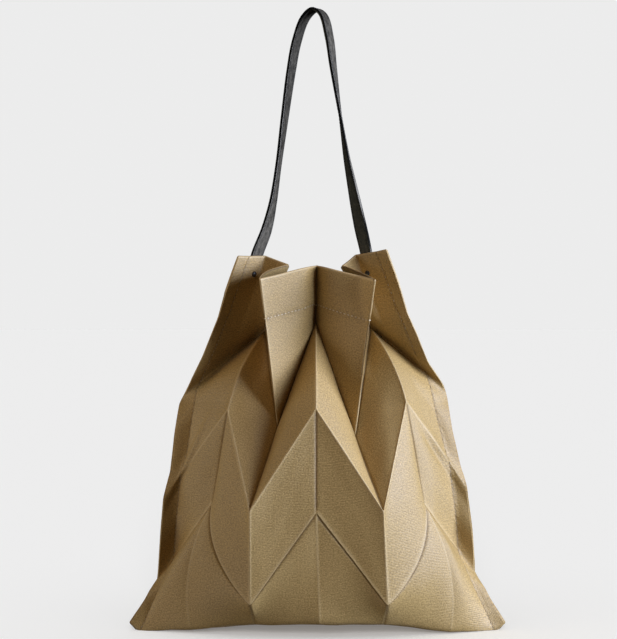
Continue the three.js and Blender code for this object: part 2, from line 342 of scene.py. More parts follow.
def pressed_creases(across, down):
    """Ridges near 1, valleys near -1 and 0 on the flat of the facets."""
    _, band, _, b = spans_of(across, down)
    inside = np.clip((to_edge(across) - PRESS_START) / PRESS_FADE, PRESS_LEAST, 1)
    turn = np.zeros_like(across)
    for crease, turns in CREASE_TURN.items():
        width = np.where((band == 0) & (crease in FLAP_EDGES), FLAP_RIDGE_WIDTH, RIDGE_WIDTH)
        turn += np.array(turns)[band] * bell(across - ACROSS[crease], width)
    for fold, sign in FOLD_TURN.items():
        turn += sign * bell((down - DOWN[fold]) * FOLD_LEAN, RIDGE_WIDTH)
    below = (down - DOWN[TUCKED_FOLD]) * FOLD_LEAN
    turn += np.where(below < 0, bell(below, TUCK_LIP), -bell(below - TUCK_STEP, TUCK_GROOVE))
    inside = inside * np.where(band == BASE_BAND, 1 - BASE_PRESS_LOSS * b, 1)
    return np.clip(turn, -1, 1) * inside


RIDGE_RISE = 0.45
VALLEY_SINK = 0.8
# How far the facets swell between their creases, in each band from the mouth to the bottom.
SWELLS = [
    {"beside_seam": 0, "leaf": 0, "beside_middle": 0},
    {"beside_seam": 4.5, "leaf": 2.0, "beside_middle": 1.5},
    {"beside_seam": 3.0, "leaf": 3.0, "beside_middle": 1.2},
    {"beside_seam": 3.5, "leaf": 3.5, "beside_middle": 2.5},
    {"beside_seam": 0, "leaf": 0, "beside_middle": 0},
]
SWELL_CREASES = {"beside_seam": (1, 3), "leaf": (3, 4), "beside_middle": (4, 5)}


def facet_swell(across, down):
    """The soft swelling of the facets."""
    _, band, _, b = spans_of(across, down)
    height = np.zeros_like(across)
    for column, (first, last) in SWELL_CREASES.items():
        start, end = ACROSS[first], ACROSS[last]
        share = np.clip((to_edge(across) - start) / (end - start), 0, 1)
        height += np.array([row[column] for row in SWELLS])[band] * 4 * share * (1 - share)
    return height * 4 * b * (1 - b)


# Pulls in the cloth where the ridge runs into the stitches: a ridge and a dent across it.
PULLS = [
    {"across": 32, "down": 212, "slope": 0.9, "rise": 2.2},
    {"across": 22, "down": 234, "slope": 0.7, "rise": -1.8},
    {"across": 378, "down": 224, "slope": 0, "rise": 1.2},
    {"across": 374, "down": 241, "slope": 0, "rise": -2.0},
]
PULL_WIDTH = 8
PULL_LENGTH = 13


def seam_pulls(across, down):
    """Height of the pulls beside the seams."""
    height = np.zeros_like(across)
    for pull in PULLS:
        aside = across - pull["across"]
        off = down - pull["down"] + pull["slope"] * aside
        height += pull["rise"] * bell(off, PULL_WIDTH) * bell(aside, PULL_LENGTH)
    return height


def hem_share(across):
    """How far down the first band the hem's stitches lie, at each place across the cloth."""
    top = pleats(across, np.zeros_like(across))
    low = pleats(across, np.full_like(across, DOWN[1] - 0.01))
    return HEM_DEPTH / np.linalg.norm(low - top, axis=-1)


def below_hem(across, down):
    """Distance below the hem's stitches."""
    return (down / DOWN[1] - hem_share(across)) * DOWN[1]


def hem_cover(across, down):
    """1 on the doubled cloth of the hem and 0 below it."""
    return np.clip(0.5 - below_hem(across, down) / HEM_STEP, 0, 1)


def on_flaps(across):
    return (across > ACROSS[3]) & (across < ACROSS[7])


def uneven_cloth(across, down, wide, tall, seed):
    """Noise over the flat cloth, with swells of a given width and height."""
    values = [noise.noise((u / wide, v / tall, seed)) for u, v in zip(across.flat, down.flat)]
    return np.reshape(values, across.shape)


HEM_STEP = 3
HEM_RISE = 0.35
HEM_SINK = 0.3
SEAM_SINK = 0.45
STITCH_GROOVE = 1.3
PUCKER = 0.32  # the seam's stitches gather the cloth into small waves beside them
PUCKER_REACH = 6
PUCKER_TURNS = 0.62  # radians for each millimetre down, with a slow drift
PUCKER_DRIFT = 2.2
PUCKER_DRIFT_TURNS = 0.11


def cloth_relief(across, down, seed):
    """Small height of the face over its facets: pressed creases, puckered seams and soft unevenness."""
    turn = pressed_creases(across, down) * (1 - unpressed_share(across, down))
    relief = np.where(turn > 0, RIDGE_RISE, VALLEY_SINK) * turn + facet_swell(across, down)
    relief += seam_pulls(across, down)
    from_stitch = to_stitches(across)
    relief -= SEAM_SINK * bell(from_stitch, STITCH_GROOVE)
    pucker = np.sin(down * PUCKER_TURNS + PUCKER_DRIFT * np.sin(down * PUCKER_DRIFT_TURNS + seed))
    relief += PUCKER * pucker * bell(from_stitch, PUCKER_REACH)
    hem_groove = HEM_SINK * bell(below_hem(across, down), STITCH_GROOVE) * on_flaps(across)
    relief += HEM_RISE * hem_cover(across, down) - hem_groove
    relief += uneven_cloth(across, down, 42, 55, seed) * 1.3
    relief += uneven_cloth(across, down, 17, 24, seed + 7) * 0.35
    return relief


HOLE_WIDTH = 0.9
RIM_LIGHT = 1.7  # the turned edge of the mouth is painted lighter than a ridge, as a painted highlight
RIM_WIDTH = 1.1


def cloth_marks(across, down):
    """Painted highlight on ridges and the mouth's rim near 1, partly wear on the ridges, and painted shade
    in valleys and stitch holes near -1.
    """
    # stitch holes take painted shade
    seam_holes = 0.75 * bell(to_stitches(across), HOLE_WIDTH)
    hem_holes = 0.9 * bell(below_hem(across, down), HOLE_WIDTH) * on_flaps(across)
    stitched = np.maximum(seam_holes, hem_holes)
    rim = RIM_LIGHT * bell(down, RIM_WIDTH)
    return pressed_creases(across, down) * (1 - unpressed_share(across, down)) - stitched + rim


NEAR_CREASE = (0, 0.5, 1.0, 1.6, 2.4, 3.5, 5, 7, 9.5, 12.5, *np.arange(16, 62, 3.5))


def clustered(knots):
    """Places along the flat cloth, close together at the knots and wide apart between them."""
    places = [knots[-1]]
    for start, end in zip(knots[:-1], knots[1:]):
        half = (end - start) / 2
        steps = [step for step in NEAR_CREASE if step < half * 0.92]
        places += [start + step for step in steps] + [start + half]
        places += [end - step for step in steps[1:]]
    return np.array(sorted(places))


def unit(vectors):
    return vectors / np.maximum(np.linalg.norm(vectors, axis=-1, keepdims=True), 1e-9)


EDGE_STEP = 0.7  # the back's cut edges stand out behind the front's


def in_bag(across, down, facing):
    """The places of the flat cloth in the bag, in millimetres."""
    x, depth, z = np.moveaxis(soft_pleats(across, down), -1, 0)
    x = x - np.sign(x) * seam_draw(across, down)
    y = -corner_lean(x, z) - facing * depth + seam_sway(across, down)
    x = x - np.sign(x) * facing * EDGE_STEP * np.clip(1 - to_edge(across) / FLANGE, 0, 1)
    return np.stack([x, y, z], axis=-1)


def out_of_cloth(across, down, facing):
    """The direction out of the cloth's outer face."""
    step = 0.4
    sideways = in_bag(across + step, down, facing) - in_bag(across - step, down, facing)
    downwards = in_bag(across, down + step, facing) - in_bag(across, down - step, facing)
    return facing * unit(np.cross(downwards, sideways))


def on_cloth(across, down, facing, seed, lift=0.0):
    """Points on the cloth's finished outer face, or lifted off it, in metres."""
    out = out_of_cloth(across, down, facing)
    point = in_bag(across, down, facing) + out * (cloth_relief(across, down, seed) + lift)[..., None]
    point[..., 2] = np.maximum(point[..., 2], 0)
    return point * MM, out


def flat_places(across, down):
    """Where the points lie on the cloth before it is folded, in metres."""
    _, band, _, b = spans_of(across, down)
    to_long = np.interp(across, ACROSS[[0, 3, 4, 5, 6, 7, 10]], [1, 0, 1, 0, 1, 0, 1])
    heights = FLAT_SHORT[band] * (1 - b) + FLAT_SHORT[band + 1] * b
    longer = FLAT_LONG[band] * (1 - b) + FLAT_LONG[band + 1] * b
    heights = heights + (longer - heights) * to_long
    return np.stack([across, heights, np.zeros_like(across)], axis=-1) * MM


def make_mesh(name, points, faces, **attributes):
    """A smooth mesh object with its doubles merged, and its attributes on the points."""
    mesh = bpy.data.meshes.new(name)
    mesh.from_pydata(points.tolist(), [], faces)
    for key, values in attributes.items():
        kind, slot = ("FLOAT_VECTOR", "vector") if values.ndim == 2 else ("FLOAT", "value")
        layer = mesh.attributes.new(key, kind, "POINT")
        layer.data.foreach_set(slot, values.astype(np.float32).ravel())
    shell = bmesh.new()
    shell.from_mesh(mesh)
    bmesh.ops.remove_doubles(shell, verts=shell.verts, dist=0.00005)
    bmesh.ops.dissolve_degenerate(shell, edges=shell.edges, dist=0.00002)
    for face in shell.faces:
        face.smooth = True
    shell.to_mesh(mesh)
    shell.free()
    piece = bpy.data.objects.new(name, mesh)
    bpy.context.collection.objects.link(piece)
    return piece


def rim_of(rows, columns):
    """The grid numbers round a panel's edge, each with its neighbour further in."""
    grid = np.arange(rows * columns).reshape(rows, columns)
    edge = [*zip(grid[0, :-1], grid[1, :-1]), *zip(grid[:-1, -1], grid[:-1, -2])]
    edge += [*zip(grid[-1, :0:-1], grid[-2, :0:-1]), *zip(grid[:0:-1, 0], grid[:0:-1, 1])]
    return edge


def cloth_panel(name, facing, seed):
    """One pleated panel as a closed wall of cloth with a rounded edge. Facing is 1 in front, -1 behind."""
    across, down = np.meshgrid(clustered(ACROSS), clustered(DOWN))
    rows, columns = across.shape
    face, out = on_cloth(across, down, facing, seed)
    wall = CLOTH_WALL + (HEM_WALL - CLOTH_WALL) * hem_cover(across, down)
    back = face - out * wall[..., None] * MM
    face, back = face.reshape(-1, 3), back.reshape(-1, 3)
    count = rows * columns
    quads = []
    for row in range(rows - 1):
        for column in range(columns - 1):
            a, b = row * columns + column, (row + 1) * columns + column
            quads.append((a, b, b + 1, a + 1))
    quads += [tuple(corner + count for corner in quad[::-1]) for quad in quads]
    edge = rim_of(rows, columns)
    lip = []
    for at, inner in edge:
        middle = (face[at] + back[at]) / 2
        away = unit(face[at] - face[inner])
        lip.append(middle + away * np.linalg.norm(face[at] - back[at]) / 2)
    for i, (at, _) in enumerate(edge):
        after, j = edge[(i + 1) % len(edge)][0], (i + 1) % len(edge)
        quads.append((at, after, 2 * count + j, 2 * count + i))
        quads.append((2 * count + i, 2 * count + j, after + count, at + count))
    if facing < 0:
        quads = [quad[::-1] for quad in quads]
    edges = [at for at, _ in edge]
    flat = flat_places(across, down).reshape(-1, 3)
    crease = cloth_marks(across, down).ravel()
    return make_mesh(
        name,
        np.concatenate([face, back, np.array(lip)]),
        quads,
        flat=np.concatenate([flat, flat, flat[edges]]),
        # the rounded cut edges all round the panel are painted light as a highlight, and the inner face
        # takes the marks reversed
        crease=np.concatenate([crease, -crease, np.ones(len(edges))]),
    )


class Socket:
    """A socket of a node tree. Arithmetic on it adds Math nodes, and node() adds any other node."""

    def __init__(self, tree, socket=None):
        self.tree = tree
        self.socket = socket

    def node(self, kind, settings=None, inputs=None, output=0):
        made = self.tree.nodes.new(kind)
        for name, value in (settings or {}).items():
            setattr(made, name, value)
        for key, value in (inputs or {}).items():
            if isinstance(value, Socket):
                self.tree.links.new(value.socket, made.inputs[key])
            else:
                made.inputs[key].default_value = value
        return Socket(self.tree, made.outputs[output])

    def math(self, operation, *values):
        return self.node("ShaderNodeMath", {"operation": operation}, dict(enumerate(values)))

    def __add__(self, other):
        return self.math("ADD", self, other)

    __radd__ = __add__

    def __sub__(self, other):
        return self.math("SUBTRACT", self, other)

    def __rsub__(self, other):
        return self.math("SUBTRACT", other, self)

    def __mul__(self, other):
        return self.math("MULTIPLY", self, other)

    __rmul__ = __mul__

    def clamped(self, low=0.0, high=1.0):
        return self.math("MINIMUM", self.math("MAXIMUM", self, low), high)

    def wave(self, pitch):
        """A sine from 0 to 1 that repeats at a pitch."""
        return self.math("SINE", self * (math.tau / pitch)) * 0.5 + 0.5

    def mixed(self, low, high):
        """The colour low where this is 0 and high where it is 1."""
        return self.node("ShaderNodeMix", {"data_type": "RGBA"}, {0: self, 6: low, 7: high}, 2)

    def stretched(self, scale):
        return self.node("ShaderNodeVectorMath", {"operation": "MULTIPLY"}, {0: self, 1: scale})

    def noise(self, detail=2.0, roughness=0.5):
        """Noise over these coordinates, about 0.5."""
        inputs = {"Vector": self, "Scale": 1.0, "Detail": detail, "Roughness": roughness}
        return self.node("ShaderNodeTexNoise", None, inputs)

    def bump(self, distance, strength=1.0):
        """This height as a normal, with its rise in metres."""
        inputs = {"Height": self, "Distance": distance, "Strength": strength}
        return self.node("ShaderNodeBump", None, inputs)


def new_material(name, **constants):
    """A material with one Principled shader, and the start of its node expressions."""
    material = bpy.data.materials.new(name)
    material.use_nodes = True
    shader = material.node_tree.nodes["Principled BSDF"]
    for socket, value in constants.items():
        shader.inputs[socket.replace("_", " ")].default_value = value
    return material, shader, Socket(material.node_tree)


def feed(shader, **sockets):
    """Links what varies over a surface to the shader."""
    for socket, value in sockets.items():
        value.tree.links.new(value.socket, shader.inputs[socket.replace("_", " ")])


SAND = (0.56, 0.37, 0.131, 1)
SAND_DEEP = (0.27, 0.17, 0.052, 1)
# lighter sand for the ridges and the mouth's rim: partly wear, partly a painted highlight
SAND_WEAR_AND_HIGHLIGHT = (0.66, 0.488, 0.25, 1)
SAND_SHADE = (0.17, 0.105, 0.045, 1)
RIB_PITCH = 0.0017
WARP_PITCH = 0.0012


def cloth_material():
    """Fine ribbed polyester: weft ribs across the cloth, thin warp lines, slubs and a slight sheen, with
    painted highlight on the ridges and rim and painted shade in the valleys and stitch holes.
    """
    material, shader, start = new_material(
        "sand_cloth",
        Sheen_Weight=0.15,
        Sheen_Roughness=0.4,
        Sheen_Tint=(0.9, 0.8, 0.62, 1),
        Specular_IOR_Level=0.6,
    )
    flat = start.node("ShaderNodeAttribute", {"attribute_name": "flat"}, output=1)
    crease = start.node("ShaderNodeAttribute", {"attribute_name": "crease"}, output=2)
    across = flat.node("ShaderNodeSeparateXYZ", None, {0: flat}, 0)
    down = flat.node("ShaderNodeSeparateXYZ", None, {0: flat}, 1)
    drift = flat.stretched((60, 60, 1)).noise() * 0.0008
    ribs = (down + drift).wave(RIB_PITCH)
    warp = (across + drift).wave(WARP_PITCH)
    slubs = flat.stretched((110, 620, 1)).noise(3.0)
    specks = flat.stretched((620, 680, 1)).noise(2.0, 0.65)
    patches = flat.stretched((14, 14, 1)).noise(3.0)
    weave = ribs * 0.45 + warp * 0.25 + slubs * 0.5 + specks * 0.6
    mottle = ribs * 0.16 + warp * 0.08 + slubs * 0.4 + specks * 2.7
    tone = (mottle + patches * 0.3 - 1.37).clamped()
    colour = tone.mixed(SAND_DEEP, SAND)
    # ridges and the rim are painted lighter: partly wear, partly a painted highlight where they catch the
    # key light
    wear_and_highlight = (crease * 0.45).clamped()
    colour = wear_and_highlight.mixed(colour, SAND_WEAR_AND_HIGHLIGHT)
    # valleys and stitch holes are painted darker: painted shade where light does not reach into them
    dark = (crease * -0.6).clamped()
    colour = dark.mixed(colour, SAND_SHADE)
    rough = 0.47 + patches * 0.12 - wear_and_highlight * 0.1
    feed(shader, Base_Color=colour, Roughness=rough, Normal=weave.bump(0.00026, 0.9))
    return material


SAND_CLOTH = cloth_material()
PANELS = [
    {"cloth": "front_cloth", "solid": "front_panel", "other": "back_panel", "facing": 1, "seed": 3.0},
    {"cloth": "back_cloth", "solid": "back_panel", "other": "front_panel", "facing": -1, "seed": 11.0},
]
panels = {}
for panel_row in PANELS:
    node_name = panel_row["solid"]
    panel = cloth_panel(panel_row["cloth"], panel_row["facing"], panel_row["seed"])
    panel.data.materials.append(SAND_CLOTH)
    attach(panel, "root")
    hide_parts(node_name)
    panels[node_name] = panel

# Stitching
# Matching polyester thread: one row of lockstitches holds the hem, and one runs down each side seam.
# The stitches sit half sunk in the cloth, in the groove that they pull into it.

STITCH_PITCH = 0.0046


def new_tree(name, output, **inputs):
    """A tree of geometry nodes with its named inputs as sockets."""
    tree = bpy.data.node_groups.new(name, "GeometryNodeTree")
    for key, kind in inputs.items():
        label = key.replace("_", " ")
        tree.interface.new_socket(label, in_out="INPUT", socket_type="NodeSocket" + kind)
    tree.interface.new_socket(output, in_out="OUTPUT", socket_type="NodeSocketGeometry")
    given = tree.nodes.new("NodeGroupInput").outputs
    return tree, [Socket(tree, given[i]) for i in range(len(inputs))]


def stitch_rows():
    """Geometry nodes that set a rounded stitch at every pitch along rows of edges."""
    tree, (rows, pitch, length, width, seed, thread) = new_tree(
        "stitch_rows",
        "Stitches",
        Rows="Geometry",
        Pitch="Float",
        Stitch_Length="Float",
        Thread_Width="Float",
        Seed="Int",
        Thread="Material",
    )
    line = rows.node("GeometryNodeMeshToCurve", None, {"Mesh": rows})
    line = rows.node("GeometryNodeResampleCurve", {"mode": "LENGTH"}, {"Curve": line, "Length": pitch})
    bead = rows.node("GeometryNodeMeshUVSphere", None, {"Segments": 6, "Rings": 5, "Radius": 0.5})
    size = rows.node("ShaderNodeCombineXYZ", None, {0: width, 1: width, 2: length})
    bead = rows.node("GeometryNodeTransform", None, {"Geometry": bead, "Scale": size})
    along = rows.node("GeometryNodeInputTangent")
    turn = rows.node("FunctionNodeAlignRotationToVector", {"axis": "Z"}, {"Vector": along})
    vary = rows.node("FunctionNodeRandomValue", {"data_type": "FLOAT"}, {2: 0.85, 3: 1.1, 8: seed}, 1)
    made = rows.node(
        "GeometryNodeInstanceOnPoints",
        None,
        {"Points": line, "Instance": bead, "Rotation": turn, "Scale": vary},
    )
    return finished_tree(tree, made, thread)


def finished_tree(tree, made, material):
    """Ends a tree of geometry nodes: real geometry, shaded smooth, with its material."""
    made = made.node("GeometryNodeRealizeInstances", None, {"Geometry": made})
    made = made.node("GeometryNodeSetShadeSmooth", None, {"Geometry": made})
    made = made.node("GeometryNodeSetMaterial", None, {"Geometry": made, "Material": material})
    end = tree.nodes.new("NodeGroupOutput")
    tree.links.new(made.socket, end.inputs[0])
    return tree


def grown(name, mesh, tree, **inputs):
    """The mesh that a tree of geometry nodes makes from another, as a piece of its own."""
    piece = bpy.data.objects.new(name, mesh)
    bpy.context.collection.objects.link(piece)
    modifier = piece.modifiers.new("grow", "NODES")
    modifier.node_group = tree
    for item in tree.interface.items_tree:
        if item.in_out == "INPUT" and item.name.replace(" ", "_") in inputs:
            modifier[item.identifier] = inputs[item.name.replace(" ", "_")]
    result = piece.evaluated_get(bpy.context.evaluated_depsgraph_get())
    finished = bpy.data.meshes.new_from_object(result)
    piece.modifiers.clear()
    piece.data = finished
    return piece


def rows_mesh(name, rows):
    """Rows of points joined into open lines."""
    mesh = bpy.data.meshes.new(name)
    edges, points = [], []
    for row in rows:
        edges += [(len(points) + i, len(points) + i + 1) for i in range(len(row) - 1)]
        points += row.tolist()
    mesh.from_pydata(points, edges, [])
    return mesh


def thread_material(name, colour, roughness):
    """Twisted thread: fine bands across the stitches and a slight change of tone from stitch to stitch."""
    material, shader, start = new_material(name, Sheen_Weight=0.15)
    place = start.node("ShaderNodeTexCoord", output=3)
    twist = place.stretched((1900, 1900, 1900)).noise(1.0)
    drift = place.stretched((90, 90, 90)).noise(2.0)
    dark = tuple(0.6 * part for part in colour[:3]) + (1,)
    tone = (twist * 0.7 + drift * 0.6 - 0.2).clamped()
    feed(shader, Base_Color=tone.mixed(dark, colour), Roughness=roughness + drift * 0.15)
    feed(shader, Normal=twist.bump(0.00012))
    return material


# the hem's thread is painted lighter than the same thread on the seams: a painted glint
GLINT_HEM_THREAD = thread_material("hem_thread", (0.84, 0.69, 0.44, 1), 0.45)
SEAM_THREAD = thread_material("seam_thread", (0.56, 0.42, 0.23, 1), 0.5)
HEM_STITCH = {"length": 0.0026, "width": 0.0015, "lift": 0.25}  # metres, and the lift in millimetres
SEAM_STITCH = {"length": 0.0028, "width": 0.0011, "lift": 0.15}
STITCHES = stitch_rows()


def sewn(name, rows, thread, stitch, seed):
    """Stitches of one thread along rows of points."""
    stitches = grown(
        name,
        rows_mesh(name + "_rows", rows),
        STITCHES,
        Pitch=STITCH_PITCH,
        Stitch_Length=stitch["length"],
        Thread_Width=stitch["width"],
        Seed=int(seed),
        Thread=thread,
    )
    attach(stitches, "root")
    return stitches


hem_across = np.arange(ACROSS[3] + 2, ACROSS[7] - 2, 0.5)
hem_down = hem_share(hem_across) * DOWN[1]
seam_down = np.arange(1.5, DOWN[4] - 3, 0.5)
for panel_row in PANELS:
    node_name, other = panel_row["solid"], panel_row["other"]
    facing, seed = panel_row["facing"], panel_row["seed"]
    name = node_name.split("_")[0]
    hem_row = on_cloth(hem_across, hem_down, facing, seed, lift=HEM_STITCH["lift"])[0]
    seam_rows = []
    for edge in (ACROSS[1], ACROSS[-2]):
        seam_across = np.full_like(seam_down, edge)
        seam_rows.append(on_cloth(seam_across, seam_down, facing, seed, lift=SEAM_STITCH["lift"])[0])
    hem = sewn(name + "_hem_stitches", [hem_row], GLINT_HEM_THREAD, HEM_STITCH, seed)
    seams = sewn(name + "_seam_stitches", seam_rows, SEAM_THREAD, SEAM_STITCH, seed + 1)

# Shoulder strap
# One flat band of black leather, two layers glued and stitched along both edges, with the edges painted.
# Its ends go down between the panels at the top corners, where a rivet holds each of them.

STRAP_WIDTH = 16
STRAP_WALL = 3.4
STRAP_TAIL = 11
STRAP_STEPS = 420
RIVETS = {"left": (-71.5, 391), "right": (57, 392)}
STRAP_EXITS = {"left": (-66, 413), "right": (52.5, 418)}
STRAP_SECTIONS = [  # x, y, height, and the turn of the width from the X axis, seen from above
    (-56, -4, 440, 52),
    (-49, -1, 470, 68),
    (-43, 1, 511, 76),
    (-36, 3, 565, 68),
    (-29, 6, 616, 60),
    (-23, 7, 648, 58),
    (-13.5, 5, 674, 58),
    (-3, 0, 682.5, 58),
    (6, -5, 676, 58),
    (13, -8, 650, 60),
    (17, -7, 620, 68),
    (21, -5, 592, 78),
    (26, -2, 559, 90),
    (32, 0, 520, 105),
    (38, 0, 489, 120),
    (46, -1, 449, 138),
]


def strap_end(side):
    """The strap inside a top corner: its tail, the rivet and the way out."""
    rivet, way_out = np.array(RIVETS[side]), np.array(STRAP_EXITS[side])
    tail = rivet - (way_out - rivet) * STRAP_TAIL / np.linalg.norm(way_out - rivet)
    rows = []
    for x, z in (tail, rivet, way_out):
        turn = math.degrees(math.atan(corner_slope(z)))
        rows.append((x, float(-corner_lean(x, z)), z, turn if side == "left" else 180 - turn))
    return rows


def smooth_path(rows, steps):
    """Rows of values as many steps along a smooth curve through them."""
    rows = np.array(rows, float)
    gaps = np.sqrt(np.linalg.norm(np.diff(rows[:, :3], axis=0), axis=1))
    knots = np.concatenate([[0], np.cumsum(gaps)])
    slopes = np.diff(rows, axis=0) / gaps[:, None]
    middle = (slopes[:-1] * gaps[1:, None] + slopes[1:] * gaps[:-1, None]) / (gaps[:-1] + gaps[1:])[:, None]
    tangents = np.concatenate([slopes[:1], middle, slopes[-1:]])
    at = np.linspace(0, knots[-1], steps + 1)
    i = np.clip(np.searchsorted(knots, at, side="right") - 1, 0, len(gaps) - 1)
    h, u = gaps[i][:, None], ((at - knots[i]) / gaps[i])[:, None]
    start = rows[i] * (1 + 2 * u) * (1 - u) ** 2 + tangents[i] * h * u * (1 - u) ** 2
    return start + rows[i + 1] * u * u * (3 - 2 * u) + tangents[i + 1] * h * u * u * (u - 1)


strap_path = smooth_path([*strap_end("left"), *STRAP_SECTIONS, *strap_end("right")[::-1]], STRAP_STEPS)
strap_middle = strap_path[:, :3]
strap_along = unit(np.gradient(strap_middle, axis=0))
strap_turn = np.radians(strap_path[:, 3])
strap_across = np.stack([np.cos(strap_turn), np.sin(strap_turn), np.zeros_like(strap_turn)], axis=1)
strap_across -= strap_along * np.sum(strap_across * strap_along, axis=1, keepdims=True)
strap_across = unit(strap_across)
strap_out = np.cross(strap_along, strap_across)
STITCH_INSET = 2.3
EDGE_ROUND = 0.9
EDGE_LINE = 0.15  # half the width of the line between the two layers
PAINT_WIDTH = 1.5


def strap_profile():
    """Half the strap's section, across and out: a flat face, a stitched groove and a rounded edge."""
    side, face = STRAP_WIDTH / 2, STRAP_WALL / 2
    groove = side - STITCH_INSET
    points = [(0, face), (groove - 2.4, face), (groove - 0.7, face - 0.04), (groove, face - 0.22)]
    points += [(groove + 0.7, face - 0.02), (side - 0.95, face)]
    for step in range(1, 6):
        angle = math.pi / 2 * (1 - step / 6)
        inward = EDGE_ROUND * (1 - math.cos(angle))
        lower = EDGE_ROUND * (1 - math.sin(angle))
        points.append((side - inward, face - lower))
    points.append((side, EDGE_LINE))
    return points


def strap_band():
    """The strap as a closed band, with its edge paint marked."""
    half = strap_profile()
    upper = half[::-1] + [(-u, v) for u, v in half[1:]]
    outline = upper + [(u, -v) for u, v in upper[::-1]]
    rings = [strap_middle + strap_across * u + strap_out * v for u, v in outline]
    points = np.stack(rings, axis=1)
    sides, count = len(outline), len(strap_middle)
    faces = []
    for step in range(count - 1):
        for corner in range(sides):
            a, b = step * sides + corner, step * sides + (corner + 1) % sides
            faces.append((a, b, b + sides, a + sides))
    faces.append(tuple(range(sides))[::-1])
    faces.append(tuple((count - 1) * sides + corner for corner in range(sides)))
    lengths = np.concatenate([[0], np.cumsum(np.linalg.norm(np.diff(strap_middle, axis=0), axis=1))])
    paint = np.clip((np.abs([u for u, _ in outline]) - (STRAP_WIDTH / 2 - PAINT_WIDTH)) / 0.3, 0, 1)
    flat = np.stack(
        [
            np.tile([u for u, _ in outline], count),
            np.repeat(lengths, sides),
            np.tile([v for _, v in outline], count),
        ],
        axis=1,
    )
    points = points.reshape(-1, 3) * MM
    return make_mesh("leather_strap", points, faces, flat=flat * MM, paint=np.tile(paint, count))


BLACK_SHINE = (1, 0.88, 0.68, 1)  # the key light is a little blue, and the shine on black is grey


def leather_material():
    """Smooth-grained black leather: fine pebbled grain and rubbed high spots."""
    shine = {"Specular_IOR_Level": 0.4, "Specular_Tint": BLACK_SHINE}
    material, shader, start = new_material("black_leather", **shine)
    flat = start.node("ShaderNodeAttribute", {"attribute_name": "flat"}, output=1)
    pebbles = flat.stretched((1150, 1150, 1150))
    cells = flat.node("ShaderNodeTexVoronoi", {"feature": "F1"}, {"Vector": pebbles, "Scale": 1.0})
    pores = flat.stretched((2600, 2600, 2600)).noise(2.0)
    scuffs = flat.stretched((330, 150, 330)).noise(4.0)
    grain = cells * 0.7 + pores * 0.4
    rubbed = (grain * 0.8 + scuffs * 1.6 - 0.95).clamped()
    colour = rubbed.mixed((0.012, 0.0105, 0.0082, 1), (0.18, 0.157, 0.119, 1))
    feed(shader, Base_Color=colour, Roughness=0.5 + scuffs * 0.16, Normal=grain.bump(0.00018, 0.7))
    return material


def edge_paint_material():
    """Black paint on the cut edges: thick, smooth and a little uneven."""
    shine = {"Specular_IOR_Level": 0.45, "Specular_Tint": BLACK_SHINE}
    material, shader, start = new_material("edge_paint", **shine)
    flat = start.node("ShaderNodeAttribute", {"attribute_name": "flat"}, output=1)
    uneven = flat.stretched((900, 250, 900)).noise(2.0)
    colour = uneven.mixed((0.003, 0.003, 0.003, 1), (0.009, 0.009, 0.009, 1))
    feed(shader, Base_Color=colour, Roughness=0.2 + uneven * 0.16, Normal=uneven.bump(0.0001))
    return material


strap = strap_band()
strap.data.materials.append(leather_material())
strap.data.materials.append(edge_paint_material())
painted = [value.value > 0.5 for value in strap.data.attributes["paint"].data]
for polygon in strap.data.polygons:
    polygon.material_index = int(all(painted[corner] for corner in polygon.vertices))
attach(strap, "root")
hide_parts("strap")

BLACK_THREAD = thread_material("black_thread", (0.03, 0.03, 0.03, 1), 0.45)
strap_rows = []
for edge in (-1, 1):
    for layer in (-1, 1):
        inset = edge * (STRAP_WIDTH / 2 - STITCH_INSET)
        row = strap_middle + strap_across * inset + strap_out * layer * (STRAP_WALL / 2 - 0.08)
        strap_rows.append(row[6:-6] * MM)
strap_stitches = grown(
    "strap_stitches",
    rows_mesh("strap_rows", strap_rows),
    STITCHES,
    Pitch=0.0036,
    Stitch_Length=0.0027,
    Thread_Width=0.00065,
    Seed=5,
    Thread=BLACK_THREAD,
)
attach(strap_stitches, "root")

# Rivets
# Two small black lacquered rivets, each with a low domed head on the front and on the back.
# They are set through front panel, strap end and back panel; only their heads are made, sitting on the
# cloth's face.

HEAD_WIDTH = 0.0066
HEAD_RISE = 0.0016
HEAD_SEARCH = 0.012  # the cloth under a head is looked for from this far out
HEAD_DEPTH = 0.0045  # where the cloth's face lies if it isn't met


def rivet_heads():
    """Geometry nodes that set a domed head at every point, facing the way the point says."""
    tree, (places, width, rise, lacquer) = new_tree(
        "rivet_heads",
        "Rivets",
        Places="Geometry",
        Head_Width="Float",
        Head_Rise="Float",
        Lacquer="Material",
    )
    dome = places.node("GeometryNodeMeshUVSphere", None, {"Segments": 40, "Rings": 20, "Radius": 0.5})
    size = places.node("ShaderNodeCombineXYZ", None, {0: width, 1: width, 2: rise * 2})
    dome = places.node("GeometryNodeTransform", None, {"Geometry": dome, "Scale": size})
    way_out = {"Name": "facing"}
    way_out = places.node("GeometryNodeInputNamedAttribute", {"data_type": "FLOAT_VECTOR"}, way_out)
    turn = places.node("FunctionNodeAlignRotationToVector", {"axis": "Z"}, {"Vector": way_out})
    made = places.node(
        "GeometryNodeInstanceOnPoints", None, {"Points": places, "Instance": dome, "Rotation": turn}
    )
    return finished_tree(tree, made, lacquer)


def lacquer_material():
    """Black lacquer over metal, slightly worn and uneven."""
    material, shader, start = new_material("black_lacquer", Coat_Weight=0.3, Metallic=0.0)
    place = start.node("ShaderNodeTexCoord", output=3)
    specks = place.stretched((1500, 1500, 1500)).noise(3.0)
    colour = specks.mixed((0.006, 0.006, 0.006, 1), (0.02, 0.02, 0.02, 1))
    feed(shader, Base_Color=colour, Roughness=0.22 + specks * 0.2)
    return material


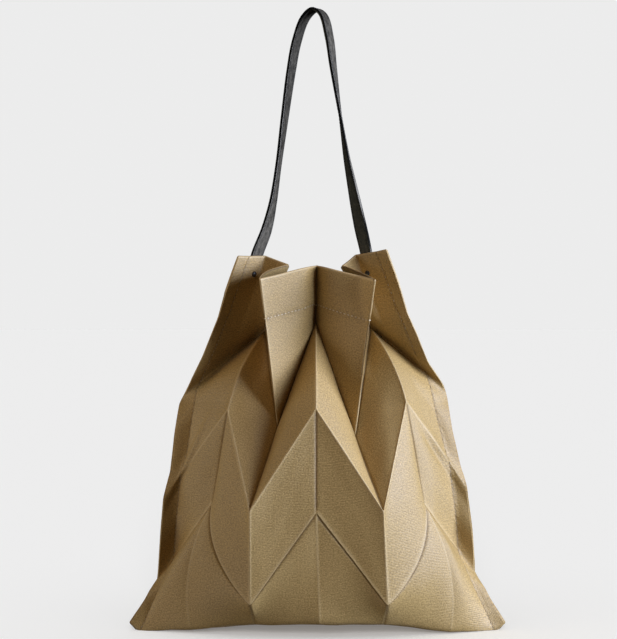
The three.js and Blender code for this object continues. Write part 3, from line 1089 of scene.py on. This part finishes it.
heads, head_facings = [], []
bpy.context.view_layer.update()
for side, (x, z) in RIVETS.items():
    turn = math.atan(corner_slope(z)) * (1 if side == "left" else -1)
    centre = Vector((x, float(-corner_lean(x, z)), z)) * MM
    for node_name, way in (("front_panel", -1), ("back_panel", 1)):
        out = Vector((-math.sin(turn) * way, math.cos(turn) * way, 0))
        hit, place, _, _ = panels[node_name].ray_cast(centre + out * HEAD_SEARCH, -out)
        heads.append(place if hit else centre + out * HEAD_DEPTH)
        head_facings.append(out)
places = bpy.data.meshes.new("rivet_places")
places.from_pydata(heads, [], [])
facings = places.attributes.new("facing", "FLOAT_VECTOR", "POINT")
facings.data.foreach_set("vector", np.array(head_facings).ravel())
rivets = grown(
    "rivets", places, rivet_heads(), Head_Width=HEAD_WIDTH, Head_Rise=HEAD_RISE, Lacquer=lacquer_material()
)
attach(rivets, "root")
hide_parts("rivet_left", "rivet_right")

# Studio
# A pale floor and background, a wide soft key light on the right, and weak light from the left, from above
# and from low on the left. The floor is lit on its own, and the camera stands where the photograph's did.

CAMERA_PLACE = (-0.0099, -2.0, 0.3415)
SENSOR = 36
FOCAL_PIXELS = 1818.18
PICTURE_HEIGHT = 639
FLOOR_REACH = 60
camera_data = bpy.data.cameras.new("camera")
camera_data.sensor_width = SENSOR
camera_data.lens = SENSOR * FOCAL_PIXELS / PICTURE_HEIGHT
camera = bpy.data.objects.new("camera", camera_data)
camera.location = CAMERA_PLACE
camera.rotation_euler = (math.pi / 2, 0, 0)
bpy.context.collection.objects.link(camera)
bpy.context.scene.camera = camera

floor_mesh = bpy.data.meshes.new("floor")
floor_corners = [(x * FLOOR_REACH, y * FLOOR_REACH, 0) for x, y in ((-1, -1), (1, -1), (1, 1), (-1, 1))]
floor_mesh.from_pydata(floor_corners, [], [(0, 1, 2, 3)])
floor = bpy.data.objects.new("floor", floor_mesh)
bpy.context.collection.objects.link(floor)
pale = new_material(
    "pale_floor",
    Base_Color=(0.8, 0.8, 0.8, 1),
    Roughness=0.9,
    Specular_IOR_Level=0.0,
    Emission_Color=(1, 1, 1, 1),
    Emission_Strength=0.18,
)[0]
floor_mesh.materials.append(pale)


def lamp(name, kind, place, target, power, **settings):
    light = bpy.data.lights.new(name, kind)
    light.energy = power
    for key, value in settings.items():
        setattr(light, key, value)
    made = bpy.data.objects.new(name, light)
    made.location = place
    made.rotation_euler = (Vector(target) - Vector(place)).to_track_quat("-Z", "Y").to_euler()
    bpy.context.collection.objects.link(made)
    return made


def link_light(light, state, *pieces):
    """Makes a light leave pieces out, or light nothing else."""
    group = bpy.data.collections.new(light.name + "_pieces")
    for piece in pieces:
        group.objects.link(piece)
    for linked in group.collection_objects:
        linked.light_linking.link_state = state
    light.light_linking.receiver_collection = group


BAG = (0, 0, 0.3)
BOX = {"shape": "RECTANGLE", "size": 2.0, "size_y": 1.1}
key = lamp("key", "AREA", (2.1, -0.77, 0.61), BAG, 116, color=(0.77, 0.87, 1.13), **BOX)
fill = lamp("fill", "AREA", (-2.57, 0.09, 0.66), BAG, 13.8, color=(0.96, 1, 0.93), **BOX)
top = lamp("top", "AREA", (-0.86, -1.22, 2.43), BAG, 12.4, color=(1, 0.69, 0.42), size=1.4)
low = {"angle": math.radians(40), "color": (1, 0.89, 0.77)}
bounce = lamp("bounce", "SUN", (-2.44, -0.89, -1.2), BAG, 0.8, **low)
for light in (key, fill):
    link_light(light, "EXCLUDE", floor)
for light in (top, bounce):
    link_light(light, "EXCLUDE", floor, strap, strap_stitches)
floor_top = lamp("floor_top", "SUN", (0, -0.3, 3), (0, 0, 0), 1.72, angle=math.radians(110))
floor_front = lamp("floor_front", "SUN", (0, -3, 1), (0, 0, 0), 2.71, angle=math.radians(20))
for light in (floor_top, floor_front):
    link_light(light, "INCLUDE", floor)
floor.visible_diffuse = False
floor.visible_glossy = False
floor.visible_shadow = False

world = bpy.data.worlds.new("studio")
bpy.context.scene.world = world
world.use_nodes = True
background = world.node_tree.nodes["Background"]
background.inputs["Color"].default_value = (1, 1, 1, 1)
seen = Socket(world.node_tree).node("ShaderNodeLightPath")
strength = seen * 0.826 + 0.014
world.node_tree.links.new(strength.socket, background.inputs["Strength"])
bpy.context.scene.view_settings.view_transform = "Standard"
